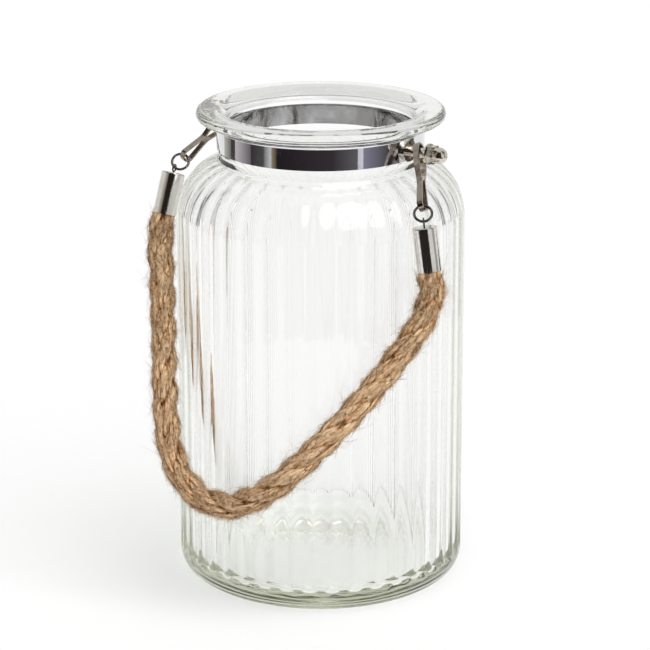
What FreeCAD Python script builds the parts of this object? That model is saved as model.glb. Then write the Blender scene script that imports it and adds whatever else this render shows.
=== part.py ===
import FreeCAD, Part
import math
import os

# Fluted glass jar lantern with a chromed neck band, two swivel studs and a rope handle.
# Millimetres. The origin is the middle of the jar's foot, +Z is up, and +X runs along the stud axis.
# The handle is drawn lying against the front (-Y) of the jar, where it rests.

V = FreeCAD.Vector
UP = V(0, 0, 1)
STUD_AXIS = V(1, 0, 0)

# Jar
BODY_RADIUS = 70.0
HEEL_RADIUS = 11.5
SHOULDER_TOP = 210.5
SHOULDER_TUCK = 8.0
NECK_RADIUS = 49.5
NECK_WALL = 4.0
NECK_EASE = 2.4
RIM_OVERHANG = 10.8
RIM_BOTTOM = 229.0
RIM_HEIGHT = 5.5
RIM_CORNER = 2.6
LIP_CORNER = 6.0
WALL = 4.0
FLOOR = 8.5
INNER_HEEL = 9.0
REST_INNER_RADIUS = 46.0
PUSH_UP = 2.5

# Flutes pressed into the jar's outside
FLUTE_COUNT = 40
FLUTE_RADIUS = 9.5
FLUTE_DEPTH = 1.3
FLUTE_FOOT = 12.0
FLUTE_RUN_OUT = 2.3
FLUTE_FADE_ANGLE = 63.0

# Neck band, a strip whose ends lap under the left stud
BAND_BOTTOM = 214.9
BAND_HEIGHT = 10.1
BAND_THICKNESS = 0.8
BAND_CLEARANCE = 0.1
LAP_HALF_ANGLE = 9.0
LAP_CLEARANCE = 0.05
LAP_SET_BACK = 1.0
JOGGLE_ANGLE = 5.0

# Stud stack, outwards from the band on each side
RIVET_DIAMETER = 3.0
FLANGE_DIAMETER = 10.5
FLANGE_THICKNESS = 1.6
SHANK_DIAMETER = 4.0
SLEEVE_DIAMETER = 4.8
SLEEVE_LENGTH = 10.6
WASHER_DIAMETER = 10.0
WASHER_THICKNESS = 0.8
NUT_ACROSS_FLATS = 8.2
NUT_HEX_HEIGHT = 3.2
NUT_CAP_HEIGHT = 2.2
NUT_CAP_DIAMETER = 7.8
NUT_BORE_DEPTH = 5.6
STACK_CLEARANCE = 0.05

# Strap, a strip bent into a closed slot above and a small eye below
STRAP_LENGTH = 28.5
STRAP_WIDTH = 2.8
STRAP_THICKNESS = 0.9
STRAP_SLOT_CLEARANCE = 0.8
STRAP_SLOT_STRAIGHT = 7.0
STRAP_WAIST_DROP = 17.0
STRAP_WAIST_HALF = 1.5
STRAP_WAIST_RADIUS = 9.0
STRAP_EYE_RADIUS = 3.0
STRAP_SEAT_RIGHT = 5.4
STRAP_SEAT_LEFT = 6.55
STUD_IN_SLOT_RIGHT = 0.65
STUD_IN_SLOT_LEFT = 2.85

# Ring, ferrule and its eye
RING_RADIUS = 4.15
RING_WIRE = 1.3
RING_SLIT = 3.0
RING_TURN = -25.0
RING_STAND_OFF_RIGHT = 3.4
RING_STAND_OFF_LEFT = 0.45
RING_FORWARD_RIGHT = 19.65
RING_FORWARD_LEFT = 25.5
LINK_CLEARANCE = 0.25
STRAP_LINK_CLEARANCE = 1.1
EYE_RADIUS = 1.7
EYE_WIRE = 0.9
EYE_HEAD_DIAMETER = 3.2
EYE_HEAD_THICKNESS = 0.7
FERRULE_DIAMETER = 11.8
FERRULE_LENGTH = 21.0
FERRULE_WALL = 0.5
FERRULE_ROUND = 0.9

# Rope, from the right ferrule's mouth round the front to the left one's
ROPE_DIAMETER = 11.4
ROPE_SPIGOT = 15.0
SPIGOT_CLEARANCE = 0.05
FERRULE_LEAN_RIGHT = V(0.17, -0.02, -1.0)
FERRULE_LEAN_LEFT = V(-0.02, -0.35, -1.0)
ROPE_LEAD_RIGHT = 10.0
ROPE_LEAD_LEFT = 12.0
ROPE_ARC_SHARE = 0.45
ROPE_MIDDLE_POINTS = [
    V(77.3, -23.5, 147.4),
    V(70.9, -33.4, 132.2),
    V(62.4, -46.7, 114.1),
    V(51.0, -60.2, 95.8),
    V(36.4, -70.9, 77.1),
    V(21.5, -76.9, 63.1),
    V(5.4, -80.3, 54.6),
    V(-11.3, -81.2, 55.0),
    V(-26.2, -79.5, 63.5),
    V(-37.1, -74.7, 78.4),
    V(-44.1, -67.6, 96.4),
    V(-50.6, -60.0, 116.0),
    V(-57.6, -51.8, 134.0),
    V(-64.6, -43.6, 149.9),
]

MOUTH_RADIUS = NECK_RADIUS - NECK_WALL
RIM_RADIUS = NECK_RADIUS + RIM_OVERHANG
SHOULDER_RADIUS = BODY_RADIUS - NECK_RADIUS + SHOULDER_TUCK
SHOULDER_START = SHOULDER_TOP - SHOULDER_RADIUS
STUD_HEIGHT = BAND_BOTTOM + BAND_HEIGHT / 2
BAND_INNER = NECK_RADIUS + BAND_CLEARANCE
BAND_OUTER = BAND_INNER + BAND_THICKNESS
LAP_INNER = BAND_OUTER + LAP_CLEARANCE
LAP_OUTER = LAP_INNER + BAND_THICKNESS
FERRULE_BORE = FERRULE_DIAMETER - 2 * FERRULE_WALL


def line(a, b):
    """A straight edge."""
    return Part.LineSegment(a, b).toShape()


def arc_about(centre, radius, start, end, flat):
    """An arc edge from one angle to another, in degrees; flat turns plane coordinates into a point."""
    angles = (start, (start + end) / 2, end)
    points = []
    for angle in angles:
        turn = math.radians(angle)
        points.append(flat(centre[0] + radius * math.cos(turn), centre[1] + radius * math.sin(turn)))
    return Part.Arc(points[0], points[1], points[2]).toShape()


def section_plane(radius, height):
    """A point of a profile that is turned about the jar's axis."""
    return V(radius, 0, height)


def plan_plane(x, y):
    """A point of a flat outline seen from above."""
    return V(x, y, 0)


def closed_face(edges):
    """The face inside a loop of edges."""
    return Part.Face(Part.Wire(Part.__sortEdges__(edges)))


def rod(start, direction, diameter, length):
    """A cylinder along a direction."""
    return Part.makeCylinder(diameter / 2, length, start, direction)


def unit(vector):
    """The same direction with length one."""
    return vector * (1.0 / vector.Length)


def placed(shape, origin, x_axis, y_axis, z_axis):
    """A shape moved from the standard axes to a set of three square axes at an origin."""
    matrix = FreeCAD.Matrix(
        x_axis.x, y_axis.x, z_axis.x, origin.x,
        x_axis.y, y_axis.y, z_axis.y, origin.y,
        x_axis.z, y_axis.z, z_axis.z, origin.z,
        0, 0, 0, 1,
    )
    moved = shape.copy()
    moved.Placement = FreeCAD.Placement(matrix).multiply(shape.Placement)
    return moved


def jar_outer():
    """The jar's outside as one turned solid, without flutes."""
    neck_drop = math.degrees(math.acos((NECK_RADIUS - (BODY_RADIUS - SHOULDER_RADIUS)) / SHOULDER_RADIUS))
    shoulder = (BODY_RADIUS - SHOULDER_RADIUS, SHOULDER_START)
    neck_foot = SHOULDER_START + SHOULDER_RADIUS * math.sin(math.radians(neck_drop))
    rim_top = RIM_BOTTOM + RIM_HEIGHT
    rim_core = RIM_RADIUS - RIM_CORNER
    point = section_plane
    edges = [
        line(point(0, 0), point(BODY_RADIUS - HEEL_RADIUS, 0)),
        arc_about((BODY_RADIUS - HEEL_RADIUS, HEEL_RADIUS), HEEL_RADIUS, -90, 0, point),
        line(point(BODY_RADIUS, HEEL_RADIUS), point(BODY_RADIUS, SHOULDER_START)),
        arc_about(shoulder, SHOULDER_RADIUS, 0, neck_drop, point),
        line(point(NECK_RADIUS, neck_foot), point(NECK_RADIUS, RIM_BOTTOM)),
        line(point(NECK_RADIUS, RIM_BOTTOM), point(rim_core, RIM_BOTTOM)),
        arc_about((rim_core, RIM_BOTTOM + RIM_CORNER), RIM_CORNER, -90, 0, point),
        line(point(RIM_RADIUS, RIM_BOTTOM + RIM_CORNER), point(RIM_RADIUS, rim_top - RIM_CORNER)),
        arc_about((rim_core, rim_top - RIM_CORNER), RIM_CORNER, 0, 90, point),
        line(point(rim_core, rim_top), point(0, rim_top)),
        line(point(0, rim_top), point(0, 0)),
    ]
    return closed_face(edges).revolve(V(0, 0, 0), UP, 360)


def jar_cavity():
    """The hollow inside: rounded floor, straight wall, shoulder, and a mouth that flares at the lip."""
    inner = BODY_RADIUS - WALL
    shoulder = (BODY_RADIUS - SHOULDER_RADIUS, SHOULDER_START)
    inner_shoulder = SHOULDER_RADIUS - WALL
    ease_out = MOUTH_RADIUS + NECK_EASE - shoulder[0]
    ease_up = math.sqrt((inner_shoulder + NECK_EASE) ** 2 - ease_out ** 2)
    ease = (shoulder[0] + ease_out, SHOULDER_START + ease_up)
    ease_turn = math.degrees(math.atan2(ease_up, ease_out))
    rim_top = RIM_BOTTOM + RIM_HEIGHT
    lip_foot = rim_top - LIP_CORNER
    point = section_plane
    edges = [
        line(point(0, FLOOR), point(inner - INNER_HEEL, FLOOR)),
        arc_about((inner - INNER_HEEL, FLOOR + INNER_HEEL), INNER_HEEL, -90, 0, point),
        line(point(inner, FLOOR + INNER_HEEL), point(inner, SHOULDER_START)),
        arc_about(shoulder, inner_shoulder, 0, ease_turn, point),
        arc_about(ease, NECK_EASE, ease_turn - 180, -180, point),
        line(point(MOUTH_RADIUS, ease[1]), point(MOUTH_RADIUS, lip_foot)),
        arc_about((MOUTH_RADIUS + LIP_CORNER, lip_foot), LIP_CORNER, 180, 90, point),
        line(point(MOUTH_RADIUS + LIP_CORNER, rim_top), point(MOUTH_RADIUS + LIP_CORNER, rim_top + WALL)),
        line(point(MOUTH_RADIUS + LIP_CORNER, rim_top + WALL), point(0, rim_top + WALL)),
        line(point(0, rim_top + WALL), point(0, FLOOR)),
    ]
    return closed_face(edges).revolve(V(0, 0, 0), UP, 360)


def push_up():
    """The shallow dome under the foot that leaves a flat ring to stand on."""
    sphere_radius = (REST_INNER_RADIUS ** 2 + PUSH_UP ** 2) / (2 * PUSH_UP)
    return Part.makeSphere(sphere_radius, V(0, 0, PUSH_UP - sphere_radius))


def flute_cutter():
    """A round-ended bar that presses one flute: up the wall, then over the shoulder as it runs out."""
    reach = BODY_RADIUS + FLUTE_RADIUS - FLUTE_DEPTH
    end_drop = math.sqrt(FLUTE_RADIUS ** 2 - (FLUTE_RADIUS - FLUTE_DEPTH) ** 2)
    start = V(reach, 0, FLUTE_FOOT + end_drop)
    bend = (BODY_RADIUS - SHOULDER_RADIUS - FLUTE_RUN_OUT, SHOULDER_START)
    bend_radius = reach - bend[0]
    ball = Part.makeSphere(FLUTE_RADIUS, start, UP, -90, 0, 360)
    straight = rod(start, UP, 2 * FLUTE_RADIUS, SHOULDER_START - start.z)
    disc = Part.Face(Part.Wire(Part.makeCircle(FLUTE_RADIUS, V(reach, 0, SHOULDER_START), UP)))
    over = disc.revolve(V(bend[0], 0, bend[1]), V(0, -1, 0), FLUTE_FADE_ANGLE)
    return ball.fuse([straight, over]).removeSplitter()


def glass_jar():
    """The pressed glass jar: turned outside, a ring of flutes, hollow inside and a pushed-up foot."""
    cutter = flute_cutter()
    cutters = []
    for index in range(FLUTE_COUNT):
        turned = cutter.copy()
        turned.rotate(V(0, 0, 0), UP, 360.0 * index / FLUTE_COUNT)
        cutters.append(turned)
    return jar_outer().cut(cutters).cut([jar_cavity(), push_up()])


def neck_band():
    """A strip bent round the neck; its outer end steps over the inner end and laps it at -X."""
    inner_end = 180 - LAP_HALF_ANGLE
    outer_end = 540 + LAP_HALF_ANGLE
    step_out = 360 + inner_end - LAP_SET_BACK
    step_in = step_out - JOGGLE_ANGLE
    middle = (inner_end + step_in) / 2

    def at(radius, angle):
        turn = math.radians(angle)
        return V(radius * math.cos(turn), radius * math.sin(turn), BAND_BOTTOM)

    def bend(radius, start, end):
        return Part.Arc(at(radius, start), at(radius, (start + end) / 2), at(radius, end)).toShape()

    edges = []
    for radius in (BAND_INNER, BAND_OUTER):
        edges.append(bend(radius, inner_end, middle))
        edges.append(bend(radius, middle, step_in))
    for radius in (LAP_INNER, LAP_OUTER):
        edges.append(bend(radius, step_out, outer_end))
    edges.append(line(at(BAND_INNER, inner_end), at(BAND_OUTER, inner_end)))
    edges.append(line(at(BAND_INNER, step_in), at(LAP_INNER, step_out)))
    edges.append(line(at(BAND_OUTER, step_in), at(LAP_OUTER, step_out)))
    edges.append(line(at(LAP_INNER, outer_end), at(LAP_OUTER, outer_end)))
    strip = closed_face(edges).extrude(UP * BAND_HEIGHT)
    drill_start = V(-2 * LAP_OUTER, 0, STUD_HEIGHT)
    drill = rod(drill_start, STUD_AXIS, RIVET_DIAMETER + 2 * STACK_CLEARANCE, 4 * LAP_OUTER)
    return strip.cut(drill)


def stud(seat_radius):
    """A flanged stud riveted through the band: tail, flange with a back curved to its seat, and shank."""
    face = seat_radius + FLANGE_THICKNESS
    tail_start = V(BAND_INNER - WALL, 0, STUD_HEIGHT)
    tail = rod(tail_start, STUD_AXIS, RIVET_DIAMETER, face - tail_start.x)
    neck = Part.makeCylinder(BAND_INNER + STACK_CLEARANCE, BAND_HEIGHT, V(0, 0, BAND_BOTTOM))
    flange_start = V(seat_radius - FLANGE_THICKNESS, 0, STUD_HEIGHT)
    flange = rod(flange_start, STUD_AXIS, FLANGE_DIAMETER, 2 * FLANGE_THICKNESS)
    seat_foot = V(0, 0, STUD_HEIGHT - FLANGE_DIAMETER)
    seat = Part.makeCylinder(seat_radius + STACK_CLEARANCE, 2 * FLANGE_DIAMETER, seat_foot)
    shank_length = SLEEVE_LENGTH + WASHER_THICKNESS + NUT_BORE_DEPTH - STACK_CLEARANCE
    shank = rod(V(face, 0, STUD_HEIGHT), STUD_AXIS, SHANK_DIAMETER, shank_length)
    return flange.cut(seat).fuse([tail.cut(neck), shank]).removeSplitter()


def tube_along_x(start, outer, inner, length):
    """A plain tube along the stud axis."""
    centre = V(start, 0, STUD_HEIGHT)
    return rod(centre, STUD_AXIS, outer, length).cut(rod(centre, STUD_AXIS, inner, length))


def spacer_sleeve(seat_radius):
    """The tube that the strap turns on."""
    start = seat_radius + FLANGE_THICKNESS + STACK_CLEARANCE
    bore = SHANK_DIAMETER + 2 * STACK_CLEARANCE
    return tube_along_x(start, SLEEVE_DIAMETER, bore, SLEEVE_LENGTH - 2 * STACK_CLEARANCE)


def retaining_washer(seat_radius):
    """The flat washer that keeps the strap on its sleeve."""
    start = seat_radius + FLANGE_THICKNESS + SLEEVE_LENGTH
    return tube_along_x(start, WASHER_DIAMETER, SHANK_DIAMETER + 2 * STACK_CLEARANCE, WASHER_THICKNESS)


def dome_nut(seat_radius):
    """A domed cap nut: chamfered hexagon, short round cap and half a ball, with a blind bore."""
    start = seat_radius + FLANGE_THICKNESS + SLEEVE_LENGTH + WASHER_THICKNESS + STACK_CLEARANCE
    corner = NUT_ACROSS_FLATS / math.sqrt(3)
    corners = []
    for index in range(7):
        turn = math.radians(60 * index)
        corners.append(V(start, corner * math.cos(turn), STUD_HEIGHT + corner * math.sin(turn)))
    seat = V(start, 0, STUD_HEIGHT)
    hexagon = Part.Face(Part.makePolygon(corners)).extrude(STUD_AXIS * NUT_HEX_HEIGHT)
    chamfer_drop = corner - NUT_ACROSS_FLATS / 2
    cone_length = NUT_HEX_HEIGHT + chamfer_drop
    cone = Part.makeCone(corner + NUT_HEX_HEIGHT, corner - chamfer_drop, cone_length, seat, STUD_AXIS)
    cap_start = seat + STUD_AXIS * NUT_HEX_HEIGHT
    cap = rod(cap_start, STUD_AXIS, NUT_CAP_DIAMETER, NUT_CAP_HEIGHT)
    ball = Part.makeSphere(NUT_CAP_DIAMETER / 2, cap_start + STUD_AXIS * NUT_CAP_HEIGHT)
    bore = rod(seat, STUD_AXIS, SHANK_DIAMETER + 2 * STACK_CLEARANCE, NUT_BORE_DEPTH)
    return hexagon.common(cone).fuse([cap, ball]).removeSplitter().cut(bore)


def mirrored_stack(make_piece):
    """One stack piece for each side; the left one sits on the lap, turned half round the jar's axis."""
    right = make_piece(BAND_OUTER)
    left = make_piece(LAP_OUTER)
    left.rotate(V(0, 0, 0), UP, 180)
    return left, right


def strap_outline(offset):
    """The strap's bent strip in its own plane, moved sideways by an offset: slot, waist and lower eye."""
    slot = SLEEVE_DIAMETER / 2 + STRAP_SLOT_CLEARANCE + STRAP_THICKNESS / 2
    slot_radius = slot + offset
    eye_radius = STRAP_EYE_RADIUS + offset
    waist_radius = STRAP_WAIST_RADIUS - offset
    waist = (STRAP_WAIST_HALF + STRAP_WAIST_RADIUS, -STRAP_WAIST_DROP)
    upper = (slot - STRAP_WAIST_RADIUS, -STRAP_SLOT_STRAIGHT)
    upper_radius = STRAP_WAIST_RADIUS + offset
    lower = (0.0, -STRAP_LENGTH)
    point = plan_plane

    def crossing(ball, ball_radius, hub, hub_radius):
        """Angle at which a line that crosses between two circles leaves the first of them."""
        gap = math.hypot(hub[0] - ball[0], hub[1] - ball[1])
        along = math.degrees(math.atan2(hub[1] - ball[1], hub[0] - ball[0]))
        return along, math.degrees(math.acos((ball_radius + hub_radius) / gap))

    along, swing = crossing(upper, upper_radius, waist, waist_radius)
    upper_leave = along + swing
    waist_meet = upper_leave + 180
    along, swing = crossing(lower, eye_radius, waist, waist_radius)
    lower_leave = along - swing
    waist_leave = lower_leave + 180

    def side(mirror):
        def flat(x, y):
            return point(mirror * x, y)

        def on(centre, radius, angle):
            turn = math.radians(angle)
            return flat(centre[0] + radius * math.cos(turn), centre[1] + radius * math.sin(turn))

        return [
            line(flat(slot_radius, 0), flat(slot_radius, -STRAP_SLOT_STRAIGHT)),
            arc_about(upper, upper_radius, 0, upper_leave, flat),
            line(on(upper, upper_radius, upper_leave), on(waist, waist_radius, waist_meet)),
            arc_about(waist, waist_radius, waist_meet, waist_leave, flat),
            line(on(waist, waist_radius, waist_leave), on(lower, eye_radius, lower_leave)),
        ]

    top = arc_about((0, 0), slot_radius, 0, 180, point)
    bottom = arc_about(lower, eye_radius, lower_leave, -180 - lower_leave, point)
    return Part.Wire(Part.__sortEdges__(side(1) + [top] + side(-1) + [bottom]))


def strap_solid():
    """The closed strip with its slot's middle at the origin, hanging along -Y, its width along Z."""
    half = STRAP_THICKNESS / 2
    outer = Part.Face(strap_outline(half)).extrude(UP * STRAP_WIDTH)
    inner = Part.Face(strap_outline(-half)).extrude(UP * STRAP_WIDTH)
    strip = outer.cut(inner)
    strip.translate(UP * (-STRAP_WIDTH / 2))
    return strip


def hanging_chain(stud_point, stud_in_slot, stand_off, forward, lean):
    """Where one side's strap, ring and eye lie. Strap and ring pull in one line from the stud to the ring's
    foot, which stands off the jar's body and forward of the stud, as far down as their lengths reach."""
    axis = unit(lean)
    strap_slack = STRAP_EYE_RADIUS - STRAP_THICKNESS / 2 - RING_WIRE / 2 - STRAP_LINK_CLEARANCE
    eye_slack = EYE_RADIUS - EYE_WIRE / 2 - RING_WIRE / 2 - LINK_CLEARANCE
    reach = STRAP_LENGTH - stud_in_slot + strap_slack + 2 * RING_RADIUS
    out = math.copysign(BODY_RADIUS + stand_off, stud_point.x) - stud_point.x
    drop = math.sqrt(reach ** 2 - out ** 2 - forward ** 2)
    pull = unit(V(out, -forward, -drop))
    strap_head = stud_point - pull * stud_in_slot
    ring_head = strap_head + pull * (STRAP_LENGTH + strap_slack)
    ring_foot = ring_head + pull * (2 * RING_RADIUS)
    eye_centre = ring_foot + axis * eye_slack
    ferrule_top = eye_centre + axis * (EYE_RADIUS + EYE_WIRE / 2)
    width = unit(STUD_AXIS - pull * STUD_AXIS.dot(pull))
    return {
        "axis": axis,
        "pull": pull,
        "width": width,
        "depth": width.cross(pull),
        "strap_head": strap_head,
        "ring_head": ring_head,
        "ring_foot": ring_foot,
        "ring_middle": (ring_head + ring_foot) * 0.5,
        "eye_centre": eye_centre,
        "ferrule_top": ferrule_top,
        "ferrule_mouth": ferrule_top + axis * FERRULE_LENGTH,
    }


def strap(chain):
    """The strap of one side, hung on its sleeve."""
    upwards = chain["pull"] * -1
    return placed(strap_solid(), chain["strap_head"], chain["depth"], upwards, chain["width"])


def ring_axes(chain):
    """The ring's own axes: across its pull in its plane, and out of its plane."""
    turn = FreeCAD.Rotation(chain["pull"], RING_TURN)
    across = turn.multVec(chain["width"])
    return across, chain["pull"].cross(across)


def ring(chain):
    """A split ring of round wire, its slit to one side."""
    wire = Part.Face(Part.Wire(Part.makeCircle(RING_WIRE / 2, V(RING_RADIUS, 0, 0), V(0, 1, 0))))
    loop = wire.revolve(V(0, 0, 0), UP, 360 - RING_SLIT)
    across, out = ring_axes(chain)
    return placed(loop, chain["ring_middle"], across, out.cross(across), out)


def eye(chain):
    """The wire eye on a ferrule: a loop round the ring, a short stem and a riveted head inside."""
    axis = chain["axis"]
    across = ring_axes(chain)[0]
    normal = unit(across - axis * across.dot(axis))
    wire = Part.Face(Part.Wire(Part.makeCircle(EYE_WIRE / 2, V(EYE_RADIUS, 0, 0), V(0, 1, 0))))
    loop = placed(wire.revolve(V(0, 0, 0), UP, 360), chain["eye_centre"], axis, normal.cross(axis), normal)
    stem_length = EYE_WIRE / 2 + FERRULE_WALL + STACK_CLEARANCE + EYE_HEAD_THICKNESS / 2
    stem = rod(chain["eye_centre"] + axis * EYE_RADIUS, axis, EYE_WIRE, stem_length)
    head_start = chain["ferrule_top"] + axis * (FERRULE_WALL + STACK_CLEARANCE)
    head = rod(head_start, axis, EYE_HEAD_DIAMETER, EYE_HEAD_THICKNESS)
    return loop.fuse([stem, head])


def ferrule(chain):
    """A drawn cup over the rope's end, rounded at its closed top and pierced for the eye."""
    axis = chain["axis"]
    top = chain["ferrule_top"]

    def rounded_rod(start, diameter, radius):
        blank = rod(start, axis, diameter, FERRULE_LENGTH)
        ends = [edge for edge in blank.Edges if edge.Closed]
        nearest = min(ends, key=lambda edge: edge.CenterOfMass.distanceToPoint(start))
        return blank.makeFillet(radius, [nearest])

    cup = rounded_rod(top, FERRULE_DIAMETER, FERRULE_ROUND)
    bore = rounded_rod(top + axis * FERRULE_WALL, FERRULE_BORE, FERRULE_ROUND - FERRULE_WALL / 2)
    hole = rod(top - axis * FERRULE_WALL, axis, EYE_WIRE + 2 * STACK_CLEARANCE, 3 * FERRULE_WALL)
    return cup.cut([bore, hole])


def rope_route(right, left):
    """The rope's points, from one ferrule's mouth to the other's."""
    right_lead = right["ferrule_mouth"] + right["axis"] * ROPE_LEAD_RIGHT
    left_lead = left["ferrule_mouth"] + left["axis"] * ROPE_LEAD_LEFT
    return [right["ferrule_mouth"], right_lead] + ROPE_MIDDLE_POINTS + [left_lead, left["ferrule_mouth"]]


def rope_path(points):
    """Straight runs joined by tangent arcs, each arc as large as its two runs allow."""
    edges = []
    radii = []
    last = points[0]
    for index in range(1, len(points) - 1):
        run_in = points[index] - points[index - 1]
        run_out = points[index + 1] - points[index]
        before = unit(run_in)
        after = unit(run_out)
        half_turn = before.getAngle(after) / 2
        reach = ROPE_ARC_SHARE * min(run_in.Length, run_out.Length)
        radius = reach / math.tan(half_turn)
        start = points[index] - before * reach
        end = points[index] + after * reach
        inwards = unit(after - before)
        middle = points[index] + inwards * (radius / math.cos(half_turn) - radius)
        edges.append(line(last, start))
        edges.append(Part.Arc(start, middle, end).toShape())
        radii.append(radius)
        last = end
    edges.append(line(last, points[-1]))
    return Part.Wire(edges), radii


def rope(right, left):
    """The rope as a plain round tube, with a slimmer stub in each ferrule."""
    points = rope_route(right, left)
    path, radii = rope_path(points)
    section = Part.Wire(Part.makeCircle(ROPE_DIAMETER / 2, points[0], points[1] - points[0]))
    tube = path.makePipeShell([section], True, False)
    area = math.pi * ROPE_DIAMETER ** 2 / 4
    print("rope length", round(path.Length, 1), "mm")
    print("rope volume over section times length", round(tube.Volume / area / path.Length, 4))
    print("rope radii", [round(radius, 1) for radius in radii])
    spigot_diameter = FERRULE_BORE - 2 * SPIGOT_CLEARANCE
    stubs = []
    for chain in (right, left):
        stubs.append(rod(chain["ferrule_mouth"], chain["axis"] * -1, spigot_diameter, ROPE_SPIGOT))
    return tube.fuse(stubs)


def build():
    """Every sub-part by its name."""
    right = hanging_chain(
        V(BAND_OUTER + FLANGE_THICKNESS + STRAP_SEAT_RIGHT, 0, STUD_HEIGHT),
        STUD_IN_SLOT_RIGHT, RING_STAND_OFF_RIGHT, RING_FORWARD_RIGHT, FERRULE_LEAN_RIGHT,
    )
    left = hanging_chain(
        V(-LAP_OUTER - FLANGE_THICKNESS - STRAP_SEAT_LEFT, 0, STUD_HEIGHT),
        STUD_IN_SLOT_LEFT, RING_STAND_OFF_LEFT, RING_FORWARD_LEFT, FERRULE_LEAN_LEFT,
    )
    parts = {"glass_jar": glass_jar(), "neck_band": neck_band(), "rope": rope(right, left)}
    for make_piece in (stud, spacer_sleeve, retaining_washer, dome_nut):
        for side, shape in zip(("left", "right"), mirrored_stack(make_piece)):
            parts[make_piece.__name__ + "_" + side] = shape
    for side, chain in (("left", left), ("right", right)):
        for make_piece in (strap, ring, eye, ferrule):
            parts[make_piece.__name__ + "_" + side] = make_piece(chain)
        for place in ("ring_head", "ring_foot", "ferrule_mouth"):
            print(side, place, chain[place])
    return parts


os.makedirs("parts", exist_ok=True)
for name, shape in build().items():
    if not shape.isValid():
        raise RuntimeError(name + " is not a valid solid")
    shape.exportStep(os.path.join("parts", name + ".step"))
    print(name, "solids", len(shape.Solids), "volume", round(shape.Volume, 1))
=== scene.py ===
import math

import bpy
import numpy as np
from bpy.props import FloatProperty, FloatVectorProperty, IntProperty, PointerProperty
from bpy.types import Operator, Panel, PropertyGroup
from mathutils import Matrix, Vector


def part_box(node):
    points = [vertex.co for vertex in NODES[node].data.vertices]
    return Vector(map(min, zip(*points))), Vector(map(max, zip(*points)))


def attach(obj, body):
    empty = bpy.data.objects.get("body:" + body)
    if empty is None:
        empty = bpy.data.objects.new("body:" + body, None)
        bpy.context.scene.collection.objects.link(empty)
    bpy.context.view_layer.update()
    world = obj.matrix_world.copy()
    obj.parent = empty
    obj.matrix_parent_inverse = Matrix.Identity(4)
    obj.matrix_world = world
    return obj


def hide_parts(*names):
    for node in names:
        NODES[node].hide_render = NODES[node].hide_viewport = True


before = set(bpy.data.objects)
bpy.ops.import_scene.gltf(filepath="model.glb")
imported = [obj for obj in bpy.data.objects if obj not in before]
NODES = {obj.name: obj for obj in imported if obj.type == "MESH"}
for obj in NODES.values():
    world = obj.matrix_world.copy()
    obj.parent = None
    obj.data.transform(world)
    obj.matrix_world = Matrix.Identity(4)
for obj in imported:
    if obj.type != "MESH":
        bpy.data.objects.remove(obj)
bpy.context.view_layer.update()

bl_info = {
    "name": "Jar lantern dressing",
    "version": (1, 0, 0),
    "blender": (4, 5, 0),
    "location": "View3D > Sidebar > Lantern",
    "description": "Dresses a packed jar lantern with fluted glass, bright metal and laid rope",
    "category": "Object",
}

MM = 0.001
UP = np.array([0.0, 0.0, 1.0])

# The rope's route, from inside the right ferrule round the front into the left one, in metres
ROUTE = [
    (0.074992, -0.019837, 0.183694),
    (0.077338, -0.020113, 0.169895),
    (0.079013, -0.020310, 0.160038),
    (0.0773, -0.0235, 0.1474),
    (0.0709, -0.0334, 0.1322),
    (0.0624, -0.0467, 0.1141),
    (0.0510, -0.0602, 0.0958),
    (0.0364, -0.0709, 0.0771),
    (0.0215, -0.0769, 0.0631),
    (0.0054, -0.0803, 0.0546),
    (-0.0113, -0.0812, 0.0550),
    (-0.0262, -0.0795, 0.0635),
    (-0.0371, -0.0747, 0.0784),
    (-0.0441, -0.0676, 0.0964),
    (-0.0506, -0.0600, 0.1160),
    (-0.0576, -0.0518, 0.1340),
    (-0.0646, -0.0436, 0.1499),
    (-0.071120, -0.037225, 0.165587),
    (-0.070894, -0.033262, 0.176912),
    (-0.070629, -0.028638, 0.190123),
]
# Points of the curve nearer to each other than this are one point
SAME_POINT = 1e-7
# In a ferrule the rope keeps one share of its size, and clear of it the other; the ends of the change are
# measured from the rope's end
GRIPPED, FREE = 0.92, 1.02
GRIP_END, FREE_START = 13 * MM, 20 * MM
STRANDS, STRAND_SIDES = 3, 40
# Slow swells and slips of a strand: the length of a wave in metres, its size and its shift by strand
SWELL_WAVES = ((0.021, 0.030, 1.0), (0.0093, 0.022, 2.3), (0.0047, 0.016, 0.7))
TURN_WAVES = ((0.061, 0.10, 1.9), (0.019, 0.05, 1.0))
# Fibre bundles on a strand: waves round it, their length along it in metres and their shift by strand
FIBRE_BUNDLES = (
    (9, 0.0113, 1.3), (11, -0.0071, 2.9), (13, 0.0052, 0.4), (15, -0.0039, 5.1), (8, 0.0046, 3.7),
    (14, 0.0087, 4.4), (5, -0.0063, 2.2),
)
# About the mean of a yarn's crown, so that yarns leave a strand as thick as it was
MEAN_CROWN = 0.75
# Painted shade of the grooves: share of the rope's radius at which the grooves are painted darkest, and how
# much yarns and bundles change this painted shade
PAINTED_SHADE_FLOOR, YARN_PAINTED_SHADE, BUNDLE_PAINTED_SHADE = 0.60, 0.30, 0.22
# The grain is drawn out along the rope by counting its length for less, and differs from strand to strand
GRAIN_LENGTH, GRAIN_STEP = 0.07, 0.05
# Places of the dark, the middle and the light colour, from the painted shade of the grooves to the painted
# light on the crowns
JUTE_STOPS = (0.27, 0.56, 0.86)
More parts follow.
